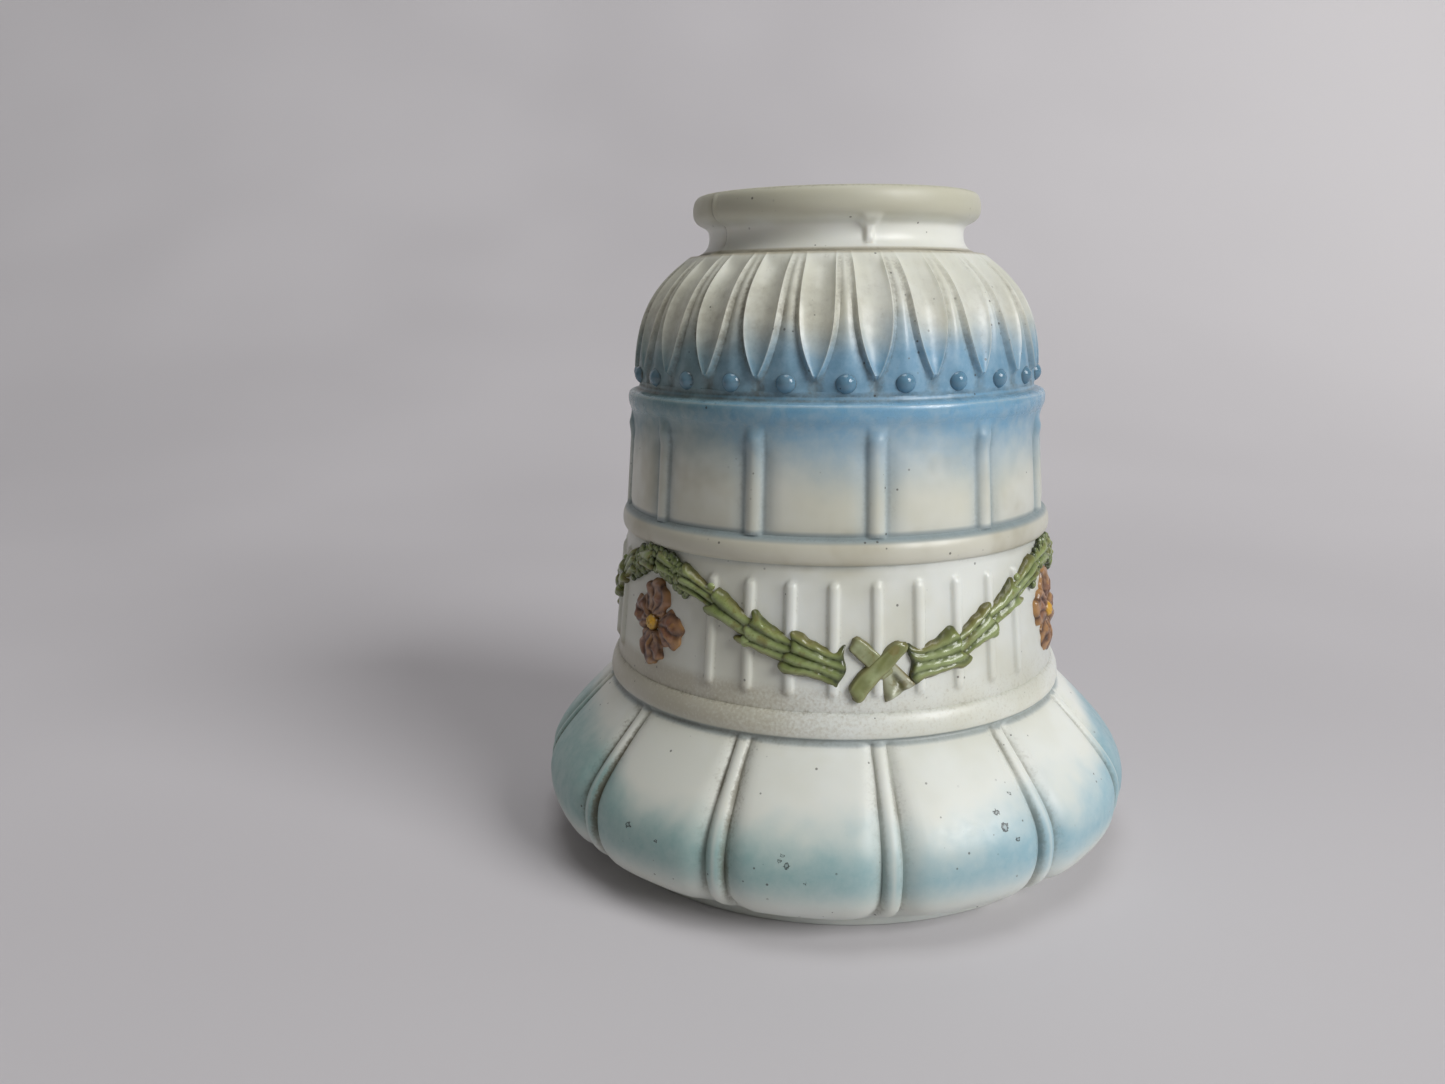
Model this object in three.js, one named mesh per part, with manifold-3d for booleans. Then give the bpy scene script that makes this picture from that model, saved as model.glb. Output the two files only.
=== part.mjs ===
// Opal glass lamp shade in the shape of a bell: a fitter collar, a dome of leaves over a row of beads, a
// ribbed drum, a frieze with three enamelled swags, and a skirt of twelve lobes that ends in a ground foot.
// Millimetres, +Z up. The origin is the centre of the foot's flat, and the first bow faces -Y.
import * as THREE from "three";
import { mergeVertices } from "three/addons/utils/BufferGeometryUtils.js";
import Module from "manifold-3d";

const wasm = await Module();
wasm.setup();

// Driving dimensions: the stages of the bell, stacked from the foot upwards.
const skirtHeight = 33.4;
const lowerRollHeight = 5.1;
const friezeHeight = 26.3;
const middleRollHeight = 4.7;
const drumHeight = 19;
const upperRollHeight = 5;
const domeHeight = 25.8;
const collarHeight = 11.7;

// Outside radii of the glass.
const footRadius = 51.6;
const rimRadius = 61.5;
const skirtTopRadius = 46.8;
const friezeBaseRadius = 46;
const friezeTopRadius = 43.3;
const drumBaseRadius = 43;
const drumTopRadius = 41.5;
const domeBaseRadius = 41.2;
const shoulderRadius = 29.5;
const neckRadius = 25.5;
const lipRadius = 28.6; // a 57.2 mm lip, held by the three screws of a 2 1/4 inch shade holder
const wall = 3.2;

// Details of the glass.
const footHeight = 2.4;
const footWidth = 3.4; // the flat ring that is ground off the bottom
const rimHeight = 13.5; // how high the widest circle of the skirt is
const lipDepth = 6; // from the widest circle of the neck's flare to the top, with the flare under it
const rollProud = 1.1; // all three rolls stand this far out of the wall
const lobeCount = 12;
const lobeDepth = 1.3; // how far the valleys lie behind the lobes
const lobeFade = 6; // the lobes rise out of the plain skirt over this height under the lower roll
const valleyRibRadius = 1.3;
const drumRibCount = 12;
const drumRibRadius = 1.15;
const leafCount = 24;
const leafRise = 0.8;
const leafFade = 5; // the leaves fade into the shoulder over this height
const beadCount = 24;
const beadRadius = 2;
const beadSeat = 2.8; // from the dome's base up to the beads' middles
const reedRadius = 0.95;
const reedPitch = THREE.MathUtils.degToRad(10);
const reedsPerSwag = 9;
const reedMargin = 2.9; // plain glass above and below the reeds

// The enamelled ornaments on the frieze.
const swagCount = 3;
const enamelGap = 0.3; // the clearance round every ornament
const ornamentMargin = 2.3; // plain glass above the sprays and below the flowers
const meetingLift = 1.6; // the sprays and the garlands' ends reach this far into the margin where swags meet
const garlandRise = 1.5;
const garlandWidth = 8;
const garlandTipWidth = 5;
const bundleCount = 4.5;
const garlandLean = 0.55; // how far the garland's cross-sections turn with its slope, from 0 to 1
const bowWidth = 11;
const bowHeight = 10.7;
const bowRise = 1.3;
const strapWidth = 4;
const sprayWidth = 9;
const sprayHeight = 4.6;
const sprayRise = 1.2;
const petalWidth = 8.4;
const petalRise = 1.5;
const centreRadius = 1.7;
const centreRise = 1.9;

// Heights and angles that follow from them.
const skirtTop = skirtHeight;
const friezeBase = skirtTop + lowerRollHeight;
const friezeTop = friezeBase + friezeHeight;
const drumBase = friezeTop + middleRollHeight;
const drumTop = drumBase + drumHeight;
const domeBase = drumTop + upperRollHeight;
const shoulderTop = domeBase + domeHeight;
const lipTop = shoulderTop + collarHeight;
const beadHeight = domeBase + beadSeat;
const sprayBase = friezeTop - ornamentMargin - sprayHeight + meetingLift;
const flowerReach = (sprayBase - enamelGap - friezeBase - ornamentMargin) / 2;
const flowerHeight = friezeBase + ornamentMargin + flowerReach;
const bowMiddle = friezeBase + ornamentMargin + bowHeight / 2;
const swagAngle = (2 * Math.PI) / swagCount;

const around = (count) => Array.from({ length: count }, (_, k) => (2 * Math.PI * k) / count);
const between = THREE.MathUtils.lerp;
const point = (r, z) => new THREE.Vector2(r, z);
const friezeRadius = (z) =>
  THREE.MathUtils.mapLinear(z, friezeBase, friezeTop, friezeBaseRadius, friezeTopRadius);

// The skirt's two curves: under the rim, and from the rim up to the lower roll.
const underRim = new THREE.QuadraticBezierCurve(
  point(footRadius, footHeight),
  point(rimRadius, footHeight + 1),
  point(rimRadius, rimHeight),
);
const overRim = new THREE.CubicBezierCurve(
  point(rimRadius, rimHeight),
  point(rimRadius, between(rimHeight, skirtTop, 0.3)),
  point(between(rimRadius, skirtTopRadius, 0.2), between(rimHeight, skirtTop, 0.43)),
  point(skirtTopRadius, skirtTop),
);
// The dome's one curve, from over the upper roll to the shoulder.
const dome = new THREE.CubicBezierCurve(
  point(domeBaseRadius, domeBase + 1),
  point(domeBaseRadius - 0.3, between(domeBase, shoulderTop, 0.56)),
  point(between(domeBaseRadius, shoulderRadius, 0.32), between(domeBase, shoulderTop, 0.78)),
  point(shoulderRadius, shoulderTop),
);

// A half-round roll from one radius and height to another.
function roll(r0, z0, r1, z1) {
  const out = (rollProud * 4) / 3;
  return new THREE.CubicBezierCurve(point(r0, z0), point(r0 + out, z0), point(r1 + out, z1), point(r1, z1));
}

// A solid for joining and cutting, from a closed geometry.
function solid(geometry) {
  const bare = geometry.clone();
  bare.deleteAttribute("normal");
  bare.deleteAttribute("uv");
  const merged = mergeVertices(bare, 1e-4);
  return new wasm.Manifold(
    new wasm.Mesh({
      numProp: 3,
      vertProperties: merged.attributes.position.array,
      triVerts: new Uint32Array(merged.index.array),
    }),
  );
}

const joined = (solids) => solids.reduce((whole, next) => whole.add(next));

// Turns an outline of radii and heights about the Z axis. The first facet's edge faces -Y.
function turned(outline, sides) {
  return new THREE.LatheGeometry(outline, sides).rotateX(Math.PI / 2);
}

// Moves each vertex in or out by what shift says for its angle, radius and height.
function shifted(geometry, shift) {
  const p = geometry.getAttribute("position");
  for (let i = 0; i < p.count; i++) {
    const r = Math.hypot(p.getX(i), p.getY(i));
    if (r < 1e-6) continue;
    const k = (r + shift(Math.atan2(p.getX(i), -p.getY(i)), r, p.getZ(i))) / r;
    p.setXYZ(i, p.getX(i) * k, p.getY(i) * k, p.getZ(i));
  }
  return geometry;
}

// How far the lobes and the leaves move the glass. Both fade out at the ends of their stage.
function relief(angle, r, z) {
  if (z < skirtTop && r > footRadius + 0.5) {
    const valley = 1 - Math.abs(Math.sin((angle * lobeCount) / 2)) ** 0.6;
    return -lobeDepth * valley * THREE.MathUtils.smoothstep(skirtTop - z, 0, lobeFade);
  }
  if (z > domeBase && r > neckRadius && z < shoulderTop - 0.5) {
    const fade = THREE.MathUtils.smoothstep(shoulderTop - z, 0, leafFade);
    return -leafRise * fade * (0.5 - 0.5 * Math.cos(angle * leafCount));
  }
  return 0;
}

// The outside of the glass, from the axis at the foot to the axis at the lip.
function outside() {
  return [
    point(0, 0),
    point(footRadius, 0),
    ...underRim.getPoints(4),
    ...overRim.getPoints(5).slice(1),
    ...roll(skirtTopRadius, skirtTop, friezeBaseRadius, friezeBase).getPoints(3).slice(1),
    ...roll(friezeTopRadius, friezeTop, drumBaseRadius, drumBase).getPoints(3),
    ...roll(drumTopRadius, drumTop, domeBaseRadius - leafRise, domeBase).getPoints(3),
    ...dome.getPoints(6),
    point(neckRadius + 2.2, shoulderTop + 0.3),
    point(neckRadius, shoulderTop + 3.2),
    point(neckRadius + 0.4, lipTop - lipDepth - 0.4),
    point(lipRadius - 0.5, lipTop - lipDepth + 1.8),
    point(lipRadius, lipTop - 3),
    point(lipRadius - 0.2, lipTop - 1.4),
    point(lipRadius - 1.3, lipTop),
    point(0, lipTop),
  ];
}

// The hollow: the plain line of the outside moved in by the wall, running past the foot and the lip.
function hollow() {
  const line = [
    ...underRim.getPoints(3).slice(1),
    ...overRim.getPoints(4).slice(1),
    point(friezeBaseRadius, friezeBase),
    point(friezeTopRadius, friezeTop),
    point(drumTopRadius, drumTop),
    ...dome.getPoints(4),
  ];
  const inner = line.map((at, i) => {
    const along = line[Math.min(i + 1, line.length - 1)].clone().sub(line[Math.max(i - 1, 0)]);
    return point(-along.y, along.x).normalize().multiplyScalar(wall).add(at);
  });
  const mouth = footRadius - footWidth;
  const bore = neckRadius - wall;
  return [
    point(0, -1),
    point(mouth, -1),
    point(mouth, footHeight),
    ...inner.filter((at) => at.x > mouth - 1 || at.y > rimHeight).filter((at) => at.x > bore + 1),
    point(bore, shoulderTop),
    point(bore, lipTop - 3),
    point(bore + 1.2, lipTop + 1),
    point(0, lipTop + 1),
  ];
}

// A round-ended bar between two points of the wall at an angle, half sunk in the glass.
function bar(radius, from, to, angle) {
  const along = to.clone().sub(from);
  const middle = from.clone().add(to).multiplyScalar(0.5);
  return new THREE.CapsuleGeometry(radius, along.length() - 2 * radius, 1, 6)
    .rotateZ(-Math.atan2(along.x, along.y))
    .rotateX(Math.PI / 2)
    .translate(middle.x, 0, middle.y)
    .rotateZ(angle - Math.PI / 2);
}

// A round rib that follows the valley between two lobes, from the lower roll to under the rim.
function valleyRib(angle) {
  const line = [...overRim.getPoints(8).reverse(), ...underRim.getPoints(4).reverse().slice(1, 4)];
  const sunk = lobeDepth + valleyRibRadius / 2;
  const path = new THREE.CatmullRomCurve3(
    line.map((at) => new THREE.Vector3(at.x - sunk * (at.y < skirtTop - 2 ? 1 : 0.5), 0, at.y)),
  );
  const section = new THREE.Shape().absarc(0, 0, valleyRibRadius, 0, 2 * Math.PI);
  const sweep = { steps: 7, curveSegments: 3, extrudePath: path, bevelEnabled: false };
  return new THREE.ExtrudeGeometry(section, sweep).rotateZ(angle - Math.PI / 2);
}

// Carries a shape drawn flat, x across, y up and z out of the glass, onto the frieze.
function ontoFrieze(geometry, angle, height) {
  const p = geometry.getAttribute("position");
  for (let i = 0; i < p.count; i++) {
    const z = height + p.getY(i);
    const r = friezeRadius(z) + p.getZ(i);
    const a = angle + p.getX(i) / friezeRadius(height);
    p.setXYZ(i, r * Math.sin(a), -r * Math.cos(a), z);
  }
  return geometry;
}

// A domed pad with a flat back.
function pad(width, height, rise, sides) {
  const shape = new THREE.SphereGeometry(0.5, sides, 4).rotateX(Math.PI / 2);
  const p = shape.getAttribute("position");
  for (let i = 0; i < p.count; i++) {
    const out = p.getZ(i) > 0.01 ? rise * (0.2 + 1.6 * p.getZ(i)) : 0;
    p.setXYZ(i, p.getX(i) * width, p.getY(i) * height, enamelGap + out);
  }
  return shape;
}

// A flat bar with a crowned top and narrowed ends, for the straps of a bow. grow widens it on every side, and
// a grown bar runs into the glass, to clear a place for the bar itself.
function strap(length, width, rise, grow) {
  const shape = new THREE.BoxGeometry(length + 2 * grow, width + 2 * grow, 1, 5, 2, 1);
  const p = shape.getAttribute("position");
  for (let i = 0; i < p.count; i++) {
    const crown = 1 - 0.4 * (p.getY(i) / (width / 2 + grow)) ** 2;
    const taper = 1 - 0.55 * (p.getX(i) / (length / 2 + grow)) ** 4;
    const back = grow ? -enamelGap : enamelGap;
    p.setXYZ(i, p.getX(i), p.getY(i) * taper, p.getZ(i) > 0 ? enamelGap + (rise + grow) * crown : back);
  }
  return shape;
}

// One bow: two crossed straps and a ribbon end at the lower right.
function bow(angle, grow = 0) {
  const diagonal = Math.hypot(bowWidth - strapWidth, bowHeight - strapWidth) + strapWidth;
  const lean = Math.atan2(bowHeight - strapWidth, bowWidth - strapWidth);
  const pieces = [
    strap(diagonal, strapWidth, bowRise, grow).rotateZ(lean),
    strap(diagonal / 2, strapWidth, bowRise * 0.8, grow)
      .translate(-diagonal / 4, 0, 0)
      .rotateZ(-lean),
    strap(diagonal / 2, strapWidth * 0.9, bowRise * 0.6, grow)
      .translate(diagonal / 4, 0, 0)
      .rotateZ(-lean),
  ];
  return joined(pieces.map((piece) => solid(ontoFrieze(piece, angle, bowMiddle))));
}

// One half of a swag's garland, from beside the bow up to the spray, on its left (-1) or its right (1).
function garland(angle, side, grow = 0) {
  const from = (bowWidth / 2 + 2 * enamelGap - grow) / friezeRadius(bowMiddle);
  const to = swagAngle / 2 - (sprayWidth / 2 + 2 * enamelGap - grow) / friezeRadius(friezeTop);
  const low = bowMiddle;
  const high = friezeTop - ornamentMargin - garlandTipWidth / 2 + meetingLift;
  const shape = new THREE.BoxGeometry(1, 1, 1, 12, 2, 1);
  const p = shape.getAttribute("position");
  for (let i = 0; i < p.count; i++) {
    const t = 0.5 + side * p.getX(i);
    const swing = between(from, to, t);
    const climb = THREE.MathUtils.smoothstep((swing / (swagAngle / 2)) ** 1.15, 0, 1);
    const lean = (side * (high - low) * Math.sin(Math.PI * t)) / (friezeRadius(low) * (to - from));
    const bundle = 0.84 + 0.16 * Math.abs(Math.sin(Math.PI * bundleCount * t));
    const width = between(garlandWidth, garlandTipWidth, t) * bundle + 2 * grow;
    const y = p.getY(i) * width;
    const crown = 1 - 1.8 * p.getY(i) ** 2;
    const back = grow ? -enamelGap : enamelGap;
    const out = p.getZ(i) > 0 ? enamelGap + (garlandRise + grow) * crown * bundle : back;
    const z = between(low, high, climb) + y;
    const a = angle + side * swing - (garlandLean * y * lean) / friezeRadius(z);
    const r = friezeRadius(z) + out;
    p.setXYZ(i, r * Math.sin(a), -r * Math.cos(a), z);
  }
  return solid(shape);
}

// The small leaves at the top of a swag, over a flower.
function spray(angle) {
  const leaves = [-1, 0, 1].map((k) =>
    pad(sprayHeight * 0.95, sprayHeight * 0.7, sprayRise, 8)
      .rotateZ(k * -0.7)
      .translate((k * sprayWidth) / 3.6, sprayHeight * (k ? 0.44 : 0.6), 0),
  );
  return joined(leaves.map((leaf) => solid(ontoFrieze(leaf, angle, sprayBase))));
}

// Four petals round the opening that the flower's centre sits in.
function petals(angle) {
  const long = flowerReach * 1.04;
  const four = around(4).map((turn) =>
    pad(petalWidth, long, petalRise, 8)
      .translate(0, flowerReach - long / 2, 0)
      .rotateZ(turn),
  );
  const flower = joined(four.map((petal) => solid(ontoFrieze(petal, angle, flowerHeight))));
  const openingRadius = centreRadius + enamelGap;
  const opening = new THREE.CylinderGeometry(openingRadius, openingRadius, 12, 10).rotateX(Math.PI / 2);
  return flower.subtract(solid(ontoFrieze(opening, angle, flowerHeight)));
}

function centre(angle) {
  return solid(ontoFrieze(pad(2 * centreRadius, 2 * centreRadius, centreRise, 8), angle, flowerHeight));
}

// The reeds of the frieze, in groups under each swag. They stop short of the ornaments that lie across them.
function reeds(bowAngles) {
  const low = friezeBase + reedMargin;
  const high = friezeTop - reedMargin;
  const places = bowAngles.flatMap((angle) =>
    Array.from({ length: reedsPerSwag }, (_, k) => angle + (k - (reedsPerSwag - 1) / 2) * reedPitch),
  );
  const from = point(friezeRadius(low), low);
  const to = point(friezeRadius(high), high);
  const bars = joined(places.map((angle) => solid(bar(reedRadius, from, to, angle))));
  const covered = bowAngles.flatMap((angle) => [
    bow(angle, enamelGap),
    garland(angle, -1, enamelGap),
    garland(angle, 1, enamelGap),
  ]);
  return bars.subtract(joined(covered));
}

// The whole glass, as one pressing.
function glassShell(bowAngles) {
  const body = solid(shifted(turned(outside(), 72), relief));
  const ribFrom = point(drumBaseRadius - 0.3, drumBase);
  const ribTo = point(drumTopRadius - 0.3, drumTop);
  const beadLine = dome.getPoint(0.1).x - leafRise;
  const added = [
    ...around(drumRibCount).map((angle) => solid(bar(drumRibRadius, ribFrom, ribTo, angle))),
    ...around(lobeCount).map((angle) => solid(valleyRib(angle))),
    ...around(beadCount).map((angle) =>
      solid(
        new THREE.SphereGeometry(beadRadius, 6, 5)
          .translate(0, -beadLine, beadHeight)
          .rotateZ(angle + Math.PI / beadCount),
      ),
    ),
    reeds(bowAngles),
  ];
  return joined([body, ...added]).subtract(solid(turned(hollow(), 36)));
}

const opal = { color: 0xe9e8e0, roughness: 0.35, metalness: 0 };
const leafGreen = { color: 0x6e8750, roughness: 0.25, metalness: 0 };
const ribbonGreen = { color: 0x96a56e, roughness: 0.25, metalness: 0 };
const rose = { color: 0x966e64, roughness: 0.45, metalness: 0 };
const ochre = { color: 0xbe9628, roughness: 0.35, metalness: 0 };

function part(name, made, finish) {
  const mesh = made.getMesh();
  const geometry = new THREE.BufferGeometry();
  geometry.setAttribute("position", new THREE.BufferAttribute(mesh.vertProperties, 3));
  geometry.setIndex(new THREE.BufferAttribute(mesh.triVerts, 1));
  geometry.computeVertexNormals();
  const piece = new THREE.Mesh(geometry, new THREE.MeshStandardMaterial(finish));
  piece.name = name;
  return piece;
}

const shade = new THREE.Group();
const bowAngles = around(swagCount);
shade.add(part("glass_shell", glassShell(bowAngles), opal));
bowAngles.forEach((angle, k) => {
  const flowerAngle = angle + swagAngle / 2;
  shade.add(part(`bow_${k + 1}`, bow(angle), ribbonGreen));
  shade.add(part(`garland_${k + 1}_left`, garland(angle, -1), leafGreen));
  shade.add(part(`garland_${k + 1}_right`, garland(angle, 1), leafGreen));
  shade.add(part(`leaf_spray_${k + 1}`, spray(flowerAngle), leafGreen));
  shade.add(part(`flower_petals_${k + 1}`, petals(flowerAngle), rose));
  shade.add(part(`flower_centre_${k + 1}`, centre(flowerAngle), ochre));
});

export default shade;
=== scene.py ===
"""Opal glass lamp shade in the shape of a bell, with enamelled swags, bows and flowers."""

import math

import bpy
import numpy as np
from mathutils import Matrix, Vector


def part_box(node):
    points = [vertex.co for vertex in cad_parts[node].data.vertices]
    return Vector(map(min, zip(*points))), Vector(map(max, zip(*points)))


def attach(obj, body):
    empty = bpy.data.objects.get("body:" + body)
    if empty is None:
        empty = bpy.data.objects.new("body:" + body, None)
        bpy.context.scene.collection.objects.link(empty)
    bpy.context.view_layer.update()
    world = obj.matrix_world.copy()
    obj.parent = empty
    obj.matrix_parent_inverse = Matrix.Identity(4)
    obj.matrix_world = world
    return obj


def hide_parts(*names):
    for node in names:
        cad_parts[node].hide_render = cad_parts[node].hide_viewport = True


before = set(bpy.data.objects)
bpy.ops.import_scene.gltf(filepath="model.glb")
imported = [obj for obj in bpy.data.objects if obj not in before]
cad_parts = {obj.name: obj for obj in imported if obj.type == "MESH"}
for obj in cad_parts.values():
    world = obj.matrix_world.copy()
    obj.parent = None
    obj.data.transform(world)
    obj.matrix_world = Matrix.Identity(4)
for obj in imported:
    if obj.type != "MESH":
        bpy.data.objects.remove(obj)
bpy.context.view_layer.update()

# ------------------------------------------------------------
# The glass. One pressing of opal glass from a hinged iron mould: collar, leaf dome, beads, rolls, ribbed
# drum, reeded frieze and lobed skirt in one wall about 3 mm thick. The blue is sprayed on and fired, and the
# foot and the top of the collar are ground flat.

MM = 0.001
low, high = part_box("glass_shell")

# Heights of the stages above the ground foot, in mm, as the mould has them.
SKIRT_TOP = 33.4
FRIEZE_BASE = SKIRT_TOP + 5.1
FRIEZE_TOP = FRIEZE_BASE + 26.3
DRUM_BASE = FRIEZE_TOP + 4.7
DRUM_TOP = DRUM_BASE + 19
DOME_BASE = DRUM_TOP + 5
SHOULDER = DOME_BASE + 25.8
LIP_TOP = (high[2] - low[2]) / MM

LEAVES = 24
LOBES = 12
SWAGS = 3


def smooth(x, start, end):
    """0 before start and 1 after end, with a soft way between."""
    t = np.clip((x - start) / (end - start), 0, 1)
    return t * t * (3 - 2 * t)


def bump(x, middle, reach):
    """A soft hill of height 1."""
    return np.exp(-(((x - middle) / reach) ** 2))


def arc(p0, p1, p2, p3, steps):
    """Points along one Bezier curve of radius and height, without its last point."""
    t = np.linspace(0, 1, steps, endpoint=False)[:, None]
    p0, p1, p2, p3 = (np.array(p, float) for p in (p0, p1, p2, p3))
    return (1 - t) ** 3 * p0 + 3 * (1 - t) ** 2 * t * p1 + 3 * (1 - t) * t * t * p2 + t**3 * p3


def line(p0, p1, steps):
    """Points along a straight run, without its last point."""
    t = np.linspace(0, 1, steps, endpoint=False)[:, None]
    return (1 - t) * np.array(p0, float) + t * np.array(p1, float)


def along(outline):
    """The distance of each outline point from the first."""
    return np.concatenate([[0], np.cumsum(np.linalg.norm(np.diff(outline, axis=0), axis=1))])


def facing(outline):
    """The unit normal at each outline point, out of the glass where the outline climbs."""
    run = np.gradient(outline, axis=0)
    run /= np.linalg.norm(run, axis=1)[:, None]
    return np.stack([run[:, 1], -run[:, 0]], axis=1)


def choose(things):
    """Selects these objects and no others, with the first one active."""
    bpy.ops.object.select_all(action="DESELECT")
    for thing in things:
        thing.select_set(True)
    bpy.context.view_layer.objects.active = things[0]


def grid(name, columns, rows):
    """A flat grid to bend, and its points, which run from -0.5 to 0.5 both ways."""
    bpy.ops.object.select_all(action="DESELECT")
    bpy.ops.mesh.primitive_grid_add(x_subdivisions=columns, y_subdivisions=rows, size=1)
    made = bpy.context.object
    made.name = name
    flat = np.empty(len(made.data.vertices) * 3, np.float32)
    made.data.vertices.foreach_get("co", flat)
    return made, flat.reshape(-1, 3)


def carry(thing, marks):
    """Gives each point of a piece the marks that its material reads."""
    for label, values in marks.items():
        held = thing.data.attributes.new(label, "FLOAT", "POINT")
        held.data.foreach_set("value", values.astype(np.float32))


def band(name, outline, columns, swing, shape):
    """A grid bent into a ring on the outline. swing gives each column's angle, and shape gives the height of
    the relief and the marks (how deep in a crease, how worn) at each point."""
    rows = len(outline)
    ring, flat = grid(name, columns, rows - 1)
    column = np.rint((flat[:, 0] + 0.5) * columns)
    row = np.rint((flat[:, 1] + 0.5) * (rows - 1)).astype(int)
    run = along(outline)[row]
    angle = swing(column, outline[row, 0], run)
    lift, marks = shape(angle, outline[row, 0], outline[row, 1], run)
    place = outline[row] + facing(outline)[row] * lift[:, None]
    points = np.stack([place[:, 0] * np.sin(angle), -place[:, 0] * np.cos(angle), place[:, 1]], axis=1) * MM
    ring.data.vertices.foreach_set("co", points.astype(np.float32).ravel())
    carry(ring, marks)
    for label, at in ((f"{name}_low", 0), (f"{name}_high", rows - 1)):
        ring.vertex_groups.new(name=label).add(np.flatnonzero(row == at).tolist(), 1, "REPLACE")
    bpy.ops.object.mode_set(mode="EDIT")
    bpy.ops.mesh.select_all(action="SELECT")
    bpy.ops.mesh.remove_doubles(threshold=0.5e-6)
    bpy.ops.object.mode_set(mode="OBJECT")
    return ring


def evenly(columns):
    return columns, lambda column, r, run: column / columns * 2 * math.pi


def repeated(degrees, pitch):
    """The same columns in each repeat of the pitch. degrees lists them from its start to its end."""
    each = len(degrees) - 1
    return each * round(360 / pitch), lambda column, r, run: np.radians(
        (column // each) * pitch + np.interp(column % each, np.arange(each + 1), degrees)
    )


def plain(angle, r, z, run):
    return 0 * z, {}


def off_centre(angle, count, start=0.0):
    """The angle from the middle of the nearest of count repeats."""
    pitch = 2 * math.pi / count
    return (angle - start + pitch / 2) % pitch - pitch / 2


# The skirt: twelve pillow lobes, with a round rib in each valley between them.
RIM = 61.5
LOBE_PITCH = 360 / LOBES
RIB_HALF, RIB_RISE = 1.3, 0.95
skirt_line = np.concatenate([
    line((48.4, 0), (51.2, 0), 2),
    arc((51.2, 0), (51.6, 0), (51.8, 0.4), (51.7, 1.2), 3),
    arc((51.7, 1.2), (51.6, 2.2), (51.8, 2.6), (52.6, 2.8), 4),
    arc((52.6, 2.8), (58, 3.6), (RIM, 7.3), (RIM, 13.5), 12),
    arc((RIM, 13.5), (RIM, 19.5), (58.6, 22), (47.3, SKIRT_TOP - 0.1), 24),
    arc((47.3, SKIRT_TOP - 0.1), (47, SKIRT_TOP + 0.1), (47, SKIRT_TOP + 0.1), (47, SKIRT_TOP + 0.3), 3),
    [(47, SKIRT_TOP + 0.3)],
])
RIB_COLUMNS = np.array([0, 0.35, 0.7, 1.0, 1.25, 1.5, 1.75, 2.05, 2.4, 2.9, 3.6, 4.6, 6, 7.8, 10, 12.5])
# Columns crowd round each rib, in degrees, and spread over the lobe.
lobe_columns = np.concatenate([RIB_COLUMNS, LOBE_PITCH - RIB_COLUMNS[::-1]])


def skirt_relief(angle, r, z, run):
    x = np.abs(off_centre(angle, LOBES)) * r
    down = SKIRT_TOP - z
    grown = smooth(down, 0, 20)
    half = RIB_HALF + 0.55 * grown
    shown = smooth(down, -0.3, 0.4) * smooth(z, 2.9, 4.4)
    side, end = np.clip(x - half, 0, None), down + 0.9
    reach = 2.6 + 3.2 * grown
    near = (side < reach) & (end < reach)
    inward = np.where(near, reach - np.hypot(reach - side, reach - end), np.minimum(side, end))
    pillow = 1 - (1 - np.clip(inward / reach, 0, 1)) ** 2.4
    depth = (1.0 + 0.75 * grown) * shown
    rib = np.sqrt(np.clip(1 - (x / half) ** 2, 0, 1)) * (RIB_RISE + 0.5 * grown) * shown
    lift = rib - depth * (1 - pillow)
    crease = bump(x, half + 0.1, 0.5 + 0.5 * grown) * shown * (0.6 + 0.4 * smooth(z, 4, 12))
    crease = np.maximum(crease, 0.4 * bump(x, half + 0.8, 2.0) * shown * smooth(z, 5, 16))
    crease = np.maximum(crease, 0.5 * bump(down, 0.2, 0.9))
    return lift, {"crease": crease, "worn": bump(x, 0, 0.6) * shown}


skirt = band("skirt", skirt_line, *repeated(lobe_columns, LOBE_PITCH), skirt_relief)


# The frieze: smooth glass between two rolls, with nine round reeds under each swag.
LOWER_ROLL, MIDDLE_ROLL = 0.85, 1.1
FRIEZE_FOOT, FRIEZE_HEAD = 46, 43.3


def roll(r0, z0, r1, z1, proud, steps):
    """A half-round roll."""
    out = proud * 4 / 3
    return arc((r0, z0), (r0 + out, z0 + 0.1), (r1 + out, z1 - 0.1), (r1, z1), steps)


def frieze_radius(z):
    return FRIEZE_FOOT + (FRIEZE_HEAD - FRIEZE_FOOT) * (z - FRIEZE_BASE) / (FRIEZE_TOP - FRIEZE_BASE)


SWAG_PITCH, REED_PITCH, REEDS_ASIDE = 360 / SWAGS, 10, 4
REED_LOW, REED_HIGH = FRIEZE_BASE + 2.9, FRIEZE_TOP - 2.9
REED_HALF, REED_RISE = 1.0, 0.75
reed_ends = np.array([-1.6, -0.9, -0.4, 0.1, 0.6, 1.1, 1.7, 2.6])
frieze_heights = np.concatenate([
    [FRIEZE_BASE],
    REED_LOW + reed_ends,
    [(REED_LOW + REED_HIGH) / 2],
    REED_HIGH - reed_ends[::-1],
    [FRIEZE_TOP],
])
frieze_line = np.concatenate([
    roll(47.1, SKIRT_TOP + 0.45, FRIEZE_FOOT, FRIEZE_BASE, LOWER_ROLL, 12),
    np.stack([frieze_radius(frieze_heights), frieze_heights], axis=1),
])
REED_COLUMNS = np.array([-4.2, -2.0, -1.6, -1.25, -0.95, -0.6, 0, 0.6, 0.95, 1.25, 1.6, 2.0])
swag_columns = np.concatenate(
    [k * REED_PITCH + REED_COLUMNS for k in range(-REEDS_ASIDE, REEDS_ASIDE + 1)] + [np.linspace(44.2, 73, 6)]
)
swag_columns = np.append(swag_columns, swag_columns[0] + SWAG_PITCH)


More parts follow.
